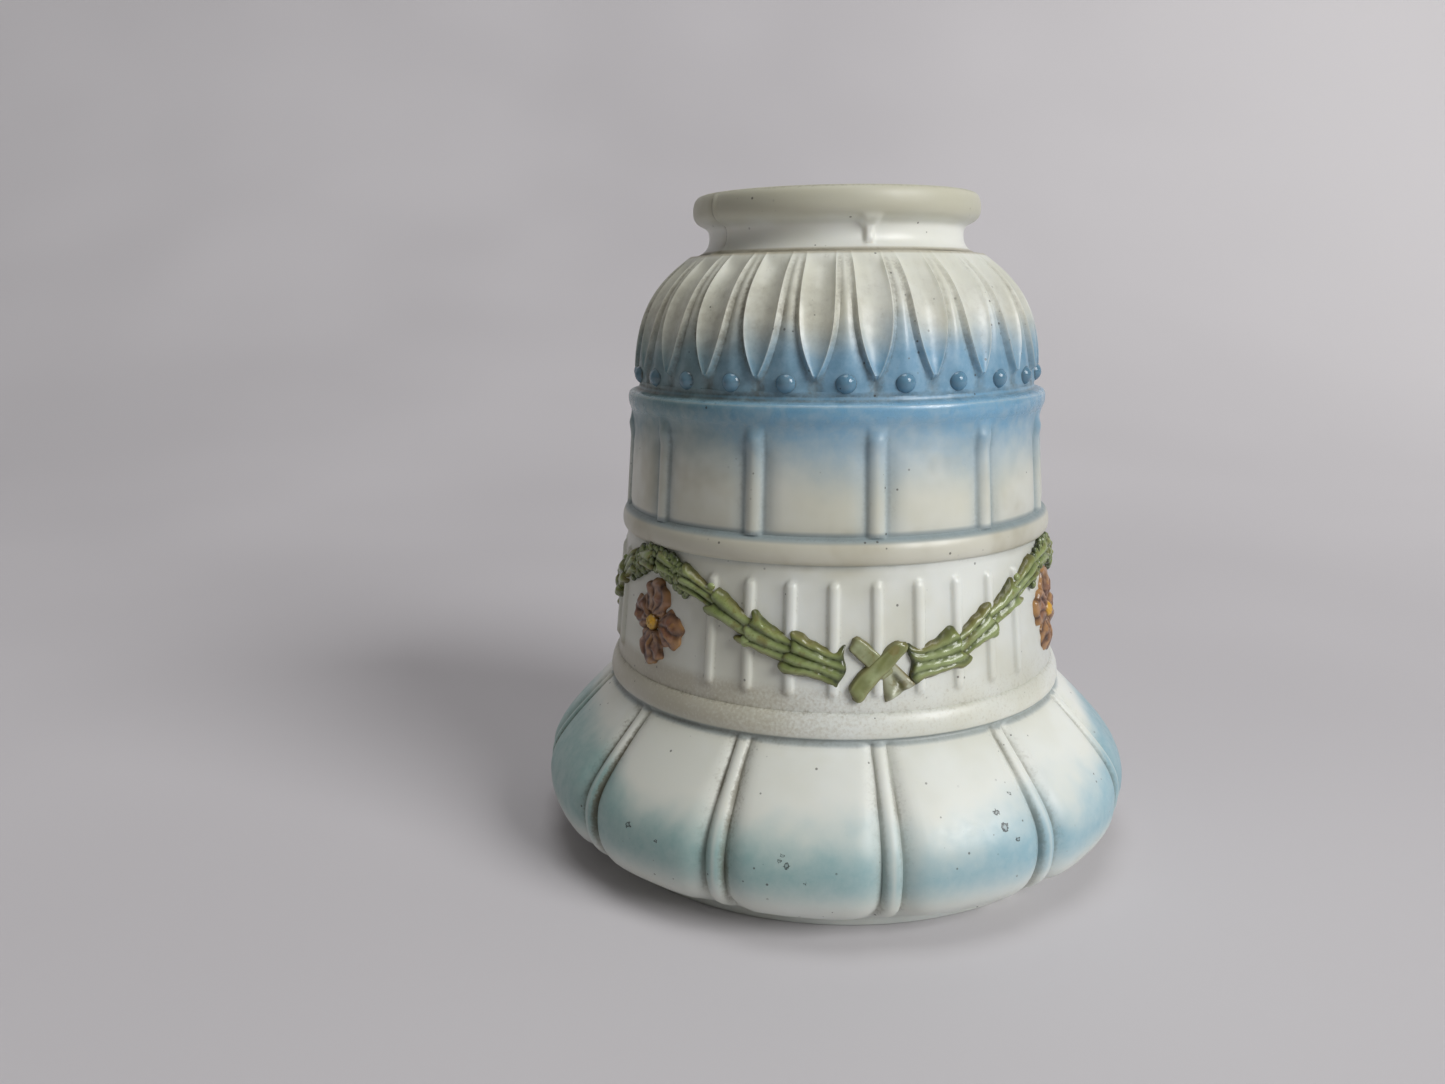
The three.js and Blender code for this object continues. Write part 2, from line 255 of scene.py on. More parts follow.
def frieze_relief(angle, r, z, run):
    inside = np.abs(off_centre(angle, SWAGS)) < math.radians((REEDS_ASIDE + 0.5) * REED_PITCH)
    x = off_centre(angle, 360 / REED_PITCH) * r
    past = np.maximum(np.maximum(REED_LOW + REED_HALF - z, z - REED_HIGH + REED_HALF), 0)
    away = np.hypot(x, past) / REED_HALF
    reed = np.where(inside, REED_RISE * np.sqrt(np.clip(1 - away**2, 0, 1)), 0)
    foot = np.where(inside, 0.12 * bump(away, 1.1, 0.35), 0)
    crease = np.where(inside, 0.35 * bump(away, 1.2, 0.3), 0)
    crease = np.maximum(crease, 0.5 * bump(z, FRIEZE_BASE + 0.2, 0.7))
    crease = np.maximum(crease, 0.35 * bump(z, FRIEZE_TOP, 0.5))
    crease = np.maximum(crease, 0.4 * bump(z, SKIRT_TOP + 0.3, 0.5))
    return reed + foot, {"crease": crease, "worn": bump(away, 0, 0.6) * inside}


frieze = band("frieze", frieze_line, *repeated(swag_columns, SWAG_PITCH), frieze_relief)

# The drum: twelve shallow pillow panels between half-round ribs, from the middle roll up to a plain strip.
PANEL_TOP = DRUM_TOP - 1.9
PANEL_EDGE, DRUM_RIB_HALF, DRUM_RIB_RISE = 2.8, 1.85, 0.9
DRUM_FOOT, DRUM_HEAD = 43, 41.5
DRUM_LIP = (42.35, DOME_BASE - 0.75)
drum_heights = np.concatenate([
    DRUM_BASE + np.array([0.1, 0.45, 0.9, 1.5, 2.3, 3.4]),
    [DRUM_BASE + 7, DRUM_BASE + 11],
    PANEL_TOP - np.array([3.4, 2.7, 2.1, 1.6, 1.1, 0.7, 0.3, -0.1, -0.5]),
])
drum_radii = DRUM_FOOT + (DRUM_HEAD - DRUM_FOOT) * (drum_heights - DRUM_BASE) / (DRUM_TOP - DRUM_BASE)
drum_line = np.concatenate([
    roll(43.4, FRIEZE_TOP + 0.15, DRUM_FOOT, DRUM_BASE, MIDDLE_ROLL, 12),
    np.stack([drum_radii, drum_heights], axis=1),
    arc((41.6, DRUM_TOP - 1.0), (41.7, DRUM_TOP + 0.6), (42.0, DRUM_TOP + 0.9), (42.35, DRUM_TOP + 1.9), 6),
    arc((42.35, DRUM_TOP + 1.9), (42.6, DOME_BASE - 2.3), (42.6, DOME_BASE - 1.3), DRUM_LIP, 6),
    arc(DRUM_LIP, (42.2, DOME_BASE - 0.4), (41.7, DOME_BASE - 0.3), (41.2, DOME_BASE - 0.2), 4),
    arc((41.2, DOME_BASE - 0.2), (40.6, DOME_BASE - 0.1), (40.3, DOME_BASE), (40.3, DOME_BASE + 0.5), 4),
    [(40.3, DOME_BASE + 0.5)],
])
DRUM_COLUMNS = np.array([0, 0.5, 1.0, 1.4, 1.75, 2.05, 2.35, 2.7, 3.1, 3.7, 4.4, 5.8, 7.8, 10.5, 13.5])
panel_columns = np.concatenate([DRUM_COLUMNS, LOBE_PITCH - DRUM_COLUMNS[::-1]])


def drum_relief(angle, r, z, run):
    x = np.abs(off_centre(angle, LOBES)) * r
    low = smooth(z, DRUM_BASE + 0.05, DRUM_BASE + 0.4)
    on = low * smooth(PANEL_TOP - z, -0.5, 3.0)
    side, end = x - DRUM_RIB_HALF, np.minimum(z - DRUM_BASE, 0.6 * (PANEL_TOP - z) + 0.6)
    near = (side < PANEL_EDGE) & (end < PANEL_EDGE)
    corner = PANEL_EDGE - np.hypot(PANEL_EDGE - side, PANEL_EDGE - end)
    inward = np.where(near, corner, np.minimum(side, end))
    rib = np.clip(1 - (x / DRUM_RIB_HALF) ** 2, 0, 1) ** 0.9
    up = low * smooth(DRUM_TOP + 1.2 - z, -0.4, 3.4)
    lift = on * (-0.5 + 0.5 * smooth(inward, -0.4, PANEL_EDGE)) + DRUM_RIB_RISE * up * rib
    x = x - DRUM_RIB_HALF
    crease = up * np.maximum(0.75 * bump(x, 0.1, 0.8), 0.4 * bump(x, 0.4, 1.9))
    crease = np.maximum(crease, 0.75 * bump(z, DRUM_BASE + 0.15, 0.5))
    crease = np.maximum(crease, 0.8 * bump(z, DOME_BASE + 0.1, 0.35))
    worn = np.maximum(on * bump(x, -DRUM_RIB_HALF, 0.6), 0.9 * bump(z, DOME_BASE - 0.75, 0.25))
    return lift, {"crease": crease, "worn": worn}


drum = band("drum", drum_line, *repeated(panel_columns, LOBE_PITCH), drum_relief)

# The dome: twenty-four hanging leaves, each a shallow scoop with a thin raised rim, over sunk ground.
LEAF_TIP, LEAF_RUN, LEAF_WIDE = 3.2, 13.0, 6.1
dome_line = np.concatenate([
    line((40.45, DOME_BASE + 0.65), (41.1, 95.0), 3),
    arc((41.1, 95.0), (40.9, 108), (37.5, 113.5), (29.5, SHOULDER), 38),
    [(29.5, SHOULDER)],
])
dome_run = along(dome_line)[-1]
LEAF_COLUMNS = np.array([0, 0.25, 0.5, 0.72, 0.87, 0.95, 1.0, 1.06, 1.16, 1.3])
RIM_COLUMNS, GROUND_COLUMNS = len(LEAF_COLUMNS) - 1, 5
RIM_SPREAD, SCOOP, RIDGE, LEAF_RIM = 3.0, 0.85, 0.62, 0.12


def leaf_half(run):
    """Half the width of a leaf, in mm, from how far up the dome the row lies."""
    up = np.clip((run - LEAF_TIP) / LEAF_RUN, 0, 1)
    taper = 1 - 0.14 * smooth(run, LEAF_TIP + 14, dome_run)
    return np.maximum(LEAF_WIDE / 2 * (1 - (1 - up) ** 2.3) * taper, 0.06)


def leaf_swing(column, r, run):
    """The columns follow the leaf's rim, so that it stays sharp down to the tip."""
    each = 2 * (RIM_COLUMNS + GROUND_COLUMNS)
    k = np.rint(column / each)
    part = np.abs(column - k * each)
    half = leaf_half(run)
    gap = r * math.pi / LEAVES
    leaf = np.interp(part, np.arange(len(LEAF_COLUMNS)), LEAF_COLUMNS)
    rim = np.where(leaf <= 1, leaf * half, half + (leaf - 1) * RIM_SPREAD)
    last = half + (LEAF_COLUMNS[-1] - 1) * RIM_SPREAD
    past = np.clip((part - RIM_COLUMNS) / GROUND_COLUMNS, 0, 1)
    x = np.where(past > 0, last + (gap - last) * past, rim)
    return k * 2 * math.pi / LEAVES + np.sign(column - k * each) * x / r


def leaf_relief(angle, r, z, run):
    x = np.abs(off_centre(angle, LEAVES)) * r
    half = leaf_half(run)
    gap = r * math.pi / LEAVES
    left = dome_run - run
    top = smooth(left, 0.4, 4.0)
    on = smooth(run, LEAF_TIP - 0.1, LEAF_TIP + 0.6)
    above = run > LEAF_TIP
    inside = (x <= half) & above
    scoop = -SCOOP * smooth(run, LEAF_TIP, LEAF_TIP + 7) * (1 - np.clip(x / half, 0, 1) ** 2) ** 1.1
    deep = 0.4 + 0.6 * smooth(left, 4, 17)
    past = np.clip(x - half, 0, None)
    ridge = RIDGE * smooth(1 - (gap - x) / np.maximum(gap - half, 0.3), 0.1, 1) * np.where(above, 1, 0.6)
    ridge = ridge * (0.45 + 0.55 * smooth(left, 4, 15))
    groove = -0.35 * bump(x, 0, 0.9) * smooth(LEAF_TIP - run, -0.2, 0.8) * smooth(run, 0.3, 1.5)
    lift = np.where(inside, scoop, ridge - deep * smooth(past, -0.1, 1.0)) * top
    lift = np.where(above, lift + LEAF_RIM * bump(x, half, 0.22) * on, ridge - deep + groove)
    start = smooth(run, 0, 1.2)
    lift = lift * start - 0.35 * (1 - start)
    crease = 0.7 * bump(past, 0.7, 0.8) * np.where(inside, 0, 1) * (0.35 + 0.65 * top)
    crease = np.maximum(crease, 0.9 * bump(x, 0, 0.8) * ~above)
    crease = np.maximum(crease, 0.3 * bump(x, half * 0.35, 1.0) * inside)
    crease = np.maximum(crease, 0.7 * bump(run, 0, 0.8))
    ground = np.where(above, smooth(past, 0, 0.8) * smooth(left, 2, 10), 1)
    return lift, {"crease": crease, "worn": bump(x, half, 0.2) * on * top, "ground": ground}


leaf_columns = 2 * (RIM_COLUMNS + GROUND_COLUMNS) * LEAVES
dome = band("dome", dome_line, leaf_columns, leaf_swing, leaf_relief)

# The collar: a waist and a rolled lip for the holder's screws, with the flat that is ground on its top.
MARK_AT, SEAM_AT, SEAMS = math.radians(3.1), math.radians(-64), 2
collar_line = np.concatenate([
    line((29.2, SHOULDER + 0.08), (28.3, SHOULDER + 0.2), 3),
    arc((28.3, SHOULDER + 0.2), (27.0, SHOULDER + 0.5), (25.6, SHOULDER + 1.5), (25.5, SHOULDER + 3.4), 9),
    arc((25.5, SHOULDER + 3.4), (25.4, SHOULDER + 5.2), (25.9, SHOULDER + 5.6), (27.0, SHOULDER + 6.1), 9),
    arc((27.0, SHOULDER + 6.1), (28.2, SHOULDER + 6.6), (28.7, LIP_TOP - 4.2), (28.7, LIP_TOP - 3.0), 9),
    arc((28.7, LIP_TOP - 3.0), (28.7, LIP_TOP - 1.3), (28.2, LIP_TOP - 0.25), (27.3, LIP_TOP - 0.02), 8),
    line((27.3, LIP_TOP - 0.02), (24.4, LIP_TOP), 3),
    [(24.4, LIP_TOP)],
])


def collar_relief(angle, r, z, run):
    """The mould leaves a small upright mark on the neck over the first bow, and its seam as a faint fin."""
    aside = np.degrees(off_centre(angle, 1, MARK_AT))
    wide = 2.0 + 1.9 * smooth(z, SHOULDER + 3.9, SHOULDER + 5.6)
    upright = smooth(z, SHOULDER + 1.2, SHOULDER + 2.0) * smooth(z, SHOULDER + 6.9, SHOULDER + 5.9)
    mark = 0.8 * np.exp(-((aside / wide) ** 4)) * upright
    fin = np.degrees(off_centre(angle, SEAMS, SEAM_AT))
    seam = 0.32 * (bump(fin, 0.8, 1.2) - 0.6 * bump(fin, -1.4, 1.4)) * smooth(z, LIP_TOP, LIP_TOP - 1.5)
    crease = np.maximum(bump(z, SHOULDER + 0.3, 0.4), 0.8 * bump(fin, -1.2, 0.8) * (z < LIP_TOP - 1))
    crease = np.maximum(crease, 0.7 * bump(z, LIP_TOP - 0.1, 0.35) * smooth(r, 27.0, 27.6))
    return mark + seam, {"crease": crease, "worn": bump(z, LIP_TOP, 0.5)}


collar_columns = np.concatenate([
    np.linspace(0, 10, 31, endpoint=False), np.linspace(10, 110, 42, endpoint=False),
    np.linspace(110, 121, 20, endpoint=False), np.linspace(121, 290, 70, endpoint=False),
    np.linspace(290, 301, 20, endpoint=False), np.linspace(301, 356, 26, endpoint=False),
    np.linspace(356, 360, 13),
])
collar_run = along(collar_line)[-1]


def collar_swing(column, r, run):
    """Columns crowd round the mark and the seams, and lie evenly at both ends, where bands are joined."""
    crowded = np.interp(column, np.arange(len(collar_columns)), collar_columns)
    even = column * 360 / (len(collar_columns) - 1)
    crowd = smooth(run, 0.2, 2.2) * smooth(collar_run - run, 0.2, 2.6)
    return np.radians(even + (crowded - even) * crowd)


collar = band("collar", collar_line, len(collar_columns) - 1, collar_swing, collar_relief)

# The inside: the plain bore of the plunger that pressed the glass, open at the mouth and at the collar.
inside_line = np.concatenate([
    line((24.1, LIP_TOP), (23.6, LIP_TOP - 0.1), 2),
    arc((23.6, LIP_TOP - 0.1), (22.9, LIP_TOP - 0.3), (22.4, LIP_TOP - 1.5), (22.3, LIP_TOP - 3), 4),
    line((22.3, LIP_TOP - 3), (22.3, SHOULDER + 1), 3),
    arc((22.3, SHOULDER + 1), (22.3, SHOULDER - 3), (35.2, 112.5), (37.3, 101), 14),
    arc((37.3, 101), (38.2, 94), (38.4, 88), (39, 80), 4),
    line((39, 80), (40.1, FRIEZE_TOP), 3),
    line((40.1, FRIEZE_TOP), (42.8, FRIEZE_BASE), 4),
    arc((42.8, FRIEZE_BASE), (43.2, 32), (50, 26), (54, 21.5), 8),
    arc((54, 21.5), (58.8, 16), (59.2, 10), (54.5, 6.2), 8),
    arc((54.5, 6.2), (52, 4.4), (48.6, 5), (48.2, 2.6), 5),
    line((48.2, 2.6), (48.2, 0.15), 2),
    [(48.2, 0.15)],
])
inside = band("inside", inside_line, *evenly(120), plain)

# The bands are welded into one wall of glass, from the foot round to the foot again.
bands = [skirt, frieze, drum, dome, collar, inside]
order = [piece.name for piece in bands]
choose(bands)
bpy.ops.object.join()
glass = skirt
glass.name = "opal_glass"
bpy.ops.object.mode_set(mode="EDIT")
bpy.ops.mesh.select_mode(type="VERT")
for below, above in zip(order, order[1:] + order[:1]):
    bpy.ops.mesh.select_all(action="DESELECT")
    for label in (f"{below}_high", f"{above}_low"):
        bpy.ops.object.vertex_group_set_active(group=label)
        bpy.ops.object.vertex_group_select()
    bpy.ops.mesh.select_mode(type="EDGE")
    bpy.ops.mesh.bridge_edge_loops()
    bpy.ops.mesh.select_mode(type="VERT")
bpy.ops.mesh.select_all(action="SELECT")
bpy.ops.mesh.normals_make_consistent(inside=False)
bpy.ops.object.mode_set(mode="OBJECT")

# The beads stand in a row at the foot of the dome, one between each two leaf tips.
BEAD, BEAD_OUT, BEAD_HEIGHT = 2.0, 39.6, 96.6
bpy.ops.object.select_all(action="DESELECT")
bpy.ops.mesh.primitive_uv_sphere_add(segments=20, ring_count=12, radius=BEAD * MM)
bead = bpy.context.object
bpy.ops.transform.resize(value=(1, 1, 0.97), center_override=(0, 0, 0))
bpy.ops.transform.translate(value=(0, -BEAD_OUT * MM, BEAD_HEIGHT * MM))
bpy.ops.object.transform_apply(location=True, rotation=False, scale=True)
reach = np.array([-v.co.y / MM for v in bead.data.vertices])
ones = np.ones(len(reach))
carry(bead, {"crease": smooth(-reach, -40.9, -40.1), "ground": ones, "bead": ones})


def copied(thing, name):
    """A copy with a mesh of its own."""
    made = thing.copy()
    made.data = thing.data.copy()
    made.name = name
    bpy.context.scene.collection.objects.link(made)
    return made


beads = []
for k in range(LEAVES):
    one = copied(bead, f"bead_{k}")
    one.rotation_euler = (0, 0, (k + 0.5) * 2 * math.pi / LEAVES)
    beads.append(one)
bpy.data.objects.remove(bead)
choose(beads)
bpy.ops.object.transform_apply(location=False, rotation=True, scale=False)
choose([glass] + beads)
bpy.ops.object.join()
glass.vertex_groups.clear()
bpy.ops.object.shade_smooth_by_angle(angle=math.radians(42))


def adder(tree):
    """A short way to add a node to a tree, with its values set or linked."""
    def node(kind, operation=None, **values):
        n = tree.nodes.new(f"ShaderNode{kind}")
        if operation:
            n.operation = operation
        for key, value in values.items():
            socket = n.inputs[int(key[1:])] if key[0] == "i" and key[1:].isdigit() else n.inputs[key]
            give(socket, value)
        return n
    return node


def give(socket, value):
    """Sets a socket, or links it when the value is another node's output."""
    if isinstance(value, bpy.types.NodeSocket):
        socket.id_data.links.new(value, socket)
    else:
        socket.default_value = value


def material(name):
    made = bpy.data.materials.new(name)
    made.use_nodes = True
    shader = made.node_tree.nodes["Principled BSDF"]
    return made, shader, adder(made.node_tree)


def effect(name, inputs, outputs):
    """A node group with named inputs and outputs, built once and placed where it is needed."""
    tree = bpy.data.node_groups.new(name, "ShaderNodeTree")
    for way, sockets in (("INPUT", inputs), ("OUTPUT", outputs)):
        for label, kind in sockets:
            tree.interface.new_socket(name=label, in_out=way, socket_type=f"NodeSocket{kind}")
    given, out = tree.nodes.new("NodeGroupInput").outputs, tree.nodes.new("NodeGroupOutput").inputs
    return tree, adder(tree), given, out


def placed(node, tree, values):
    """A node group in a material, with that material's own values."""
    n = node("Group")
    n.node_tree = tree
    for label, value in values.items():
        give(n.inputs[label], value)
    return n.outputs


def mark(node, label):
    """One of the marks that the shapes carry."""
    n = node("Attribute")
    n.attribute_name = label
    return n.outputs["Fac"]


def srgb(r, g, b):
    """A colour as it is seen, 0 to 255, as the shader's linear light."""
    def straight(c):
        c /= 255
        return c / 12.92 if c <= 0.04045 else ((c + 0.055) / 1.055) ** 2.4
    return (straight(r), straight(g), straight(b), 1)


def mix(node, amount, a, b):
    """Colour b over colour a by amount."""
    n = node("Mix")
    n.data_type = "RGBA"
    for socket, value in ((n.inputs[0], amount), (n.inputs[6], a), (n.inputs[7], b)):
        give(socket, value)
    return n.outputs[2]


def fade(node, value, start, end, to_low=0.0, to_high=1.0):
    """A soft ramp of a value."""
    n = node("MapRange", Value=value)
    n.interpolation_type = "SMOOTHSTEP"
    for socket, number in zip(n.inputs[1:5], (start, end, to_low, to_high)):
        socket.default_value = number
    return n.outputs["Result"]


def times(node, value, *others):
    """The product of all the values."""
    for other in others:
        value = node("Math", "MULTIPLY", i0=value, i1=other).outputs[0]
    return value


def plus(node, a, b):
    return node("Math", "ADD", i0=a, i1=b).outputs[0]


def scaled(node, value, by, start):
    """A value times one number, from a start."""
    return node("Math", "MULTIPLY_ADD", i0=value, i1=by, i2=start).outputs[0]


def most(node, a, b):
    return node("Math", "MAXIMUM", i0=a, i1=b).outputs[0]


def noise(node, place, scale, detail=3.0, rough=0.55):
    return node("TexNoise", Vector=place, Scale=scale, Detail=detail, Roughness=rough).outputs["Fac"]


def zone(node, value, start, end, soft):
    """1 between two heights, with soft ends."""
    return times(node, fade(node, value, start - soft, start), fade(node, value, end + soft, end))


# Dark pits and soot specks, strewn in patches, on the glass and on the enamel.
pits, node, given, out = effect("pits", (("Place", "Vector"), ("Scale", "Float")), (("Mask", "Float"),))
speck = node("TexVoronoi", Vector=given["Place"], Scale=given["Scale"])
some = fade(node, node("SeparateColor", Color=speck.outputs["Color"]).outputs["Red"], 0.3, 0.9)
patchy = fade(node, noise(node, given["Place"], 120, 2), 0.46, 0.58)
size = times(node, some, 0.12)
near = node("Math", "DIVIDE", i0=speck.outputs["Distance"], i1=plus(node, size, 0.001)).outputs[0]
give(out["Mask"], times(node, fade(node, near, 1.3, 0.7), patchy))

# A chip in the surface: a dark torn ring round a paler scar.
chip, node, given, out = effect(
    "chip", (("Place", "Vector"), ("Spot", "Vector"), ("Size", "Float")), (("Mask", "Float"),)
)
away = node("VectorMath", "DISTANCE", i0=given["Place"], i1=given["Spot"]).outputs["Value"]
torn = plus(node, away, scaled(node, noise(node, given["Place"], 1700), 0.0016, -0.0008))
near = node("Math", "DIVIDE", i0=torn, i1=given["Size"]).outputs[0]
give(out["Mask"], times(node, fade(node, near, 1.4, 1.0), fade(node, near, 0.3, 0.9, 0.25, 1.0)))

opal, shader, node = material("opal_glass")
place = node("TexCoord").outputs["Object"]
parts = node("SeparateXYZ", Vector=place).outputs
height, sideways = parts["Z"], parts["X"]
crease, worn, ground = mark(node, "crease"), mark(node, "worn"), mark(node, "ground")
cloud = noise(node, place, 55)
fine = noise(node, place, 420, 5, 0.65)
grit = noise(node, place, 1700, 3, 0.6)
wander = scaled(node, cloud, 0.010, -0.005)
level = plus(node, height, wander)

WHITE, NECK_PAINTED_GLOW = srgb(232, 235, 229), srgb(244, 245, 238)
CREAM, LIP_CREAM_AND_SHADE, ROLL_CREAM = srgb(206, 204, 182), srgb(196, 194, 173), srgb(205, 201, 184)
GRIME_AND_SHADE, BROWN, SMEAR, FILM = srgb(104, 97, 76), srgb(152, 134, 96), srgb(170, 162, 134), srgb(140, 132, 112)
SHADE, TORN, SPECK = srgb(84, 88, 84), srgb(38, 42, 42), srgb(60, 56, 50)
BLUE = srgb(102, 163, 200)
SHADED_TEAL = srgb(92, 134, 144)
SKY = srgb(138, 181, 196)
SHADED_SEA = srgb(138, 176, 174)
SLATE_SHADE = srgb(104, 130, 142)
RIB_BLUE = srgb(122, 158, 180)
BEAD_BLUE = srgb(78, 126, 154)

# White glass that has yellowed in clouds, most on the drum and the lip. The extra cream on the side away
# from the light is painted shade.
shaded_side = times(node, fade(node, sideways, 0.012, -0.048), 0.5)
yellowing_and_shade = fade(node, plus(node, cloud, times(node, shaded_side, 0.4)), 0.38, 0.72)
drum_zone = zone(node, level, 0.066, 0.088, 0.003)
dome_zone = zone(node, level, 0.090, 0.117, 0.004)
lip_zone = fade(node, height, 0.1245, 0.1272)
roll_zone = zone(node, height, 0.0652, 0.0690, 0.0006)
yellowing_and_shade = times(node, yellowing_and_shade, fade(node, height, 0.028, 0.036, 0.5, 1.0))
colour = mix(node, times(node, yellowing_and_shade, 0.5), WHITE, CREAM)
colour = mix(node, times(node, most(node, drum_zone, dome_zone), 0.28), colour, CREAM)
# The lip's darker cream is yellowed glass and painted shade.
colour = mix(node, times(node, lip_zone, 0.85), colour, LIP_CREAM_AND_SHADE)
# Painted light: the neck under the lip is painted whiter, for light that shines through the glass.
colour = mix(node, times(node, zone(node, height, 0.1205, 0.1240, 0.001), 0.6), colour, NECK_PAINTED_GLOW)
colour = mix(node, times(node, roll_zone, 0.6), colour, ROLL_CREAM)
smear = fade(node, noise(node, place, 34, 4, 0.65), 0.46, 0.68)
colour = mix(node, times(node, smear, most(node, drum_zone, roll_zone), 0.5), colour, SMEAR)

# The sprayed blue: a band at the upper roll that fades down the drum and up the dome, and one on the skirt.
spray_up = fade(node, level, 0.0760, 0.0918)
spray_down = fade(node, plus(node, level, times(node, ground, -0.0014)), 0.1090, 0.0990)
rubbed_off, grainy = fade(node, worn, 0.2, 1.3, 1.0, 0.7), fade(node, fine, 0.3, 0.7, 0.8, 1.0)
spray = times(node, spray_up, spray_down, rubbed_off, grainy)
# The blue turns a greyer teal on the side away from the light, which is painted shade.
blue_spray_and_shade = mix(node, fade(node, plus(node, sideways, times(node, cloud, 0.03)), 0.012, -0.03), BLUE, SHADED_TEAL)
colour = mix(node, times(node, spray, 0.95), colour, blue_spray_and_shade)
# The creases beside the drum's ribs are slate blue: blue in the hollows, and painted shade.
colour = mix(node, times(node, crease, drum_zone, 0.6), colour, RIB_BLUE)
colour = mix(node, times(node, mark(node, "bead"), 0.7), colour, BEAD_BLUE)
aside = node("Math", "ABSOLUTE", i0=sideways).outputs[0]
# The skirt's blue reaches higher at the sides turned away from the camera, which is painted shade.
edge_shade_reach = fade(node, aside, 0.042, 0.057, 0.0, -0.012)
skirt_level = plus(node, plus(node, level, wander), edge_shade_reach)
skirt_up, skirt_down = fade(node, skirt_level, 0.0258, 0.0138), fade(node, height, 0.0065, 0.0140, 0.1, 1.0)
rubbed_off, grainy = fade(node, worn, 0.3, 1.2, 1.0, 0.6), fade(node, fine, 0.3, 0.7, 0.85, 1.0)
skirt_spray = times(node, skirt_up, skirt_down, rubbed_off, grainy)
# The skirt's blue is greener on the side away from the light, which is painted shade.
skirt_blue_and_shade = mix(node, fade(node, sideways, -0.03, 0.03), SHADED_SEA, SKY)
colour = mix(node, times(node, skirt_spray, 0.9), colour, skirt_blue_and_shade)
# Painted shade: slate lines in the creases under the lower roll and over the middle roll.
low_crease_shade = zone(node, height, 0.0330, 0.0338, 0.0006)
high_crease_shade = zone(node, height, 0.0693, 0.0702, 0.0008)
colour = mix(node, times(node, most(node, low_crease_shade, high_crease_shade), 0.5), colour, SLATE_SHADE)

# Grime and painted shade: a speckled film on the dome, brown lines in the corners of the rolls, painted shade
# on the right edge, and dark colour in every crease that is grime and painted shade.
film_and_shade = times(node, zone(node, height, 0.0950, 0.112, 0.005), fade(node, fine, 0.35, 0.7, 0.15, 1.0))
# The film is heavier on the side away from the light, which is painted shade.
film_and_shade = times(node, film_and_shade, scaled(node, shaded_side, 1.1, 0.5))
film_and_shade = times(node, film_and_shade, most(node, fade(node, spray, 0.2, 0.9, 1.0, 0.4), ground))
colour = mix(node, times(node, film_and_shade, 0.36), colour, FILM)
lower_roll, neck_line = zone(node, height, 0.0355, 0.0415, 0.0025), zone(node, height, 0.1193, 0.1199, 0.0005)
# The brown dirt on the lower roll is heavier on the side away from the light, which is painted shade.
browned_and_shaded = times(node, lower_roll, fade(node, plus(node, grit, shaded_side), 0.45, 1.0), 0.4)
colour = mix(node, most(node, browned_and_shaded, times(node, neck_line, 0.5)), colour, BROWN)
# Painted shade on the right, turned away from the camera: from the frieze up, and at the very edge all the
# way down.
far_side_shade = times(node, fade(node, sideways, 0.016, 0.036), fade(node, height, 0.034, 0.040))
far_side_shade = most(node, far_side_shade, fade(node, sideways, 0.046, 0.058))
colour = mix(node, times(node, far_side_shade, 0.19), colour, SHADE)
# The creases are darkened with speckled grime and painted shade, more on the side away from the light.
stipple = scaled(node, plus(node, grit, times(node, fine, 0.7)), 1.3, -1.1)
crease_grime_and_shade = times(node, fade(node, plus(node, crease, stipple), 0.25, 1.0), fade(node, crease, 0.04, 0.35))
crease_grime_and_shade = plus(node, times(node, crease_grime_and_shade, 0.6), times(node, crease, 0.4))
patchy = fade(node, noise(node, place, 90), 0.36, 0.64, 0.6, 1.25)
crease_grime_and_shade = times(node, crease_grime_and_shade, plus(node, shaded_side, 0.7), fade(node, drum_zone, 0, 1, 1.0, 0.55), patchy)
colour = mix(node, times(node, crease_grime_and_shade, 0.62), colour, GRIME_AND_SHADE)

# The chips, mostly on the lobes under the first bow, and the specks.
CHIPS = (
    # degrees from the first bow, height and radius in mm
    (19.8, 22.3, 0.5), (20.5, 20.1, 0.62), (22.4, 17.9, 0.36), (24.2, 24.3, 0.24),
    (-17.2, 16.3, 0.45), (-18.6, 16.9, 0.26), (-18.1, 17.9, 0.2), (-47.5, 17.0, 0.5), (-41.0, 16.0, 0.3),
    (-14.2, 13.6, 0.2),
)
chipped = None
for degrees, z, size in CHIPS:
    r = float(np.interp(z, skirt_line[2:, 1], skirt_line[2:, 0]))
    spot = (r * math.sin(math.radians(degrees)) * MM, -r * math.cos(math.radians(degrees)) * MM, z * MM)
    ring = placed(node, chip, {"Place": place, "Spot": spot, "Size": size * MM})["Mask"]
    chipped = ring if chipped is None else most(node, chipped, ring)
colour = mix(node, times(node, chipped, 0.9), colour, TORN)
specked = placed(node, pits, {"Place": place, "Scale": 520.0})["Mask"]
colour = mix(node, times(node, specked, 0.75), colour, SPECK)
give(shader.inputs["Base Color"], colour)

shiny = zone(node, height, 0.0900, 0.0935, 0.001)
rough = plus(node, fade(node, fine, 0.3, 0.7, 0.28, 0.40), times(node, crease, 0.2))
rough = plus(node, plus(node, rough, times(node, lip_zone, 0.12)), times(node, mark(node, "bead"), -0.22))
rough = plus(node, plus(node, rough, times(node, shiny, -0.10)), fade(node, height, 0.030, 0.020, 0.0, 0.07))
give(shader.inputs["Roughness"], rough)
shader.inputs["Subsurface Weight"].default_value = 0.25
shader.inputs["Subsurface Radius"].default_value = (1.0, 0.9, 0.75)
shader.inputs["Subsurface Scale"].default_value = 0.0022
shader.inputs["IOR"].default_value = 1.5
uneven = plus(node, fine, times(node, cloud, 2.0))
dent = node("Bump", Strength=0.25, Distance=0.00008, Height=uneven)
give(shader.inputs["Normal"], dent.outputs["Normal"])
glass.data.materials.append(opal)
